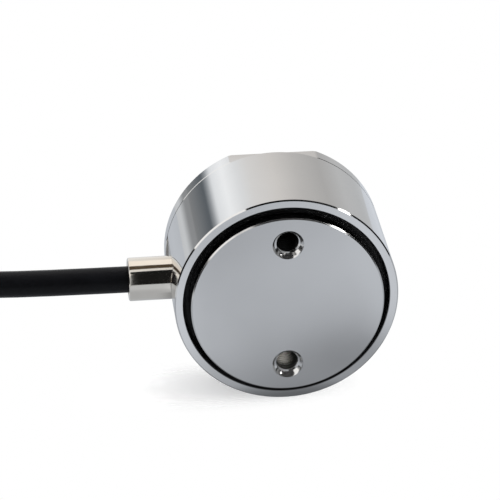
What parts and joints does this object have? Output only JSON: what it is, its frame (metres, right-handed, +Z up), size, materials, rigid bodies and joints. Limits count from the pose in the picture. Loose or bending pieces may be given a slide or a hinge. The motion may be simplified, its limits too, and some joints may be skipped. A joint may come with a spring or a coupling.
{
  "type": "button load cell",
  "caption": "Compact round compression load cell with a domed load button, tapped base, side cable fitting and a coiled signal cable.",
  "frame": {"origin": "centre of the base boss's bottom face, on the load axis", "axes": "+Z up the load axis towards the load button, +X along the cable fitting, +Y towards the flat on the flange"},
  "size_m": [0.237, 0.0558, 0.033],
  "materials": {
    "body_steel": "polished stainless steel",
    "ferrule": "bright nickel plate",
    "seal": "matt",
    "bush": "matt",
    "cable_jacket": "soft satin",
    "gauge_foil": "amber carrier film",
    "tin": "tinned",
    "board": "solder mask",
    "pad": "adhesive pad",
    "resistor": "matt",
    "lead": "enamelled copper",
    "wire_red": "satin",
    "wire_black": "satin",
    "wire_green": "satin",
    "wire_white": "satin",
    "tie": "satin nylon"
  },
  "bodies": {
    "root": {"spring_element": "body_steel", "housing_sleeve": "body_steel", "seal_ring": "seal", "strain_gauge_1": "gauge_foil", "strain_gauge_2": "gauge_foil", "strain_gauge_3": "gauge_foil", "strain_gauge_4": "gauge_foil", "gauge_tabs_1": "tin", "gauge_tabs_2": "tin", "gauge_tabs_3": "tin", "gauge_tabs_4": "tin", "gauge_leads_1": "lead", "gauge_leads_2": "lead", "gauge_leads_3": "lead", "gauge_leads_4": "lead", "bridge_board": "board", "board_pad_1": "pad", "board_pad_2": "pad", "board_pad_3": "pad", "board_pad_4": "pad", "trim_resistor_1": "resistor", "trim_resistor_2": "resistor", "trim_resistor_3": "resistor", "cable_ferrule": "ferrule", "cable_bush": "bush", "cable_clip": "ferrule", "inner_wire_red": "wire_red", "inner_wire_black": "wire_black", "inner_wire_green": "wire_green", "inner_wire_white": "wire_white", "cable": "cable_jacket", "cable_hank": "cable_jacket", "hank_tie_1": "tie", "hank_tie_2": "tie", "end_sleeve": "bush", "end_wire_red": "wire_red", "end_wire_black": "wire_black", "end_wire_green": "wire_green", "end_wire_white": "wire_white", "end_tip_red": "tin", "end_tip_black": "tin", "end_tip_green": "tin", "end_tip_white": "tin", "end_screen": "tin"}
  },
  "joints": []
}
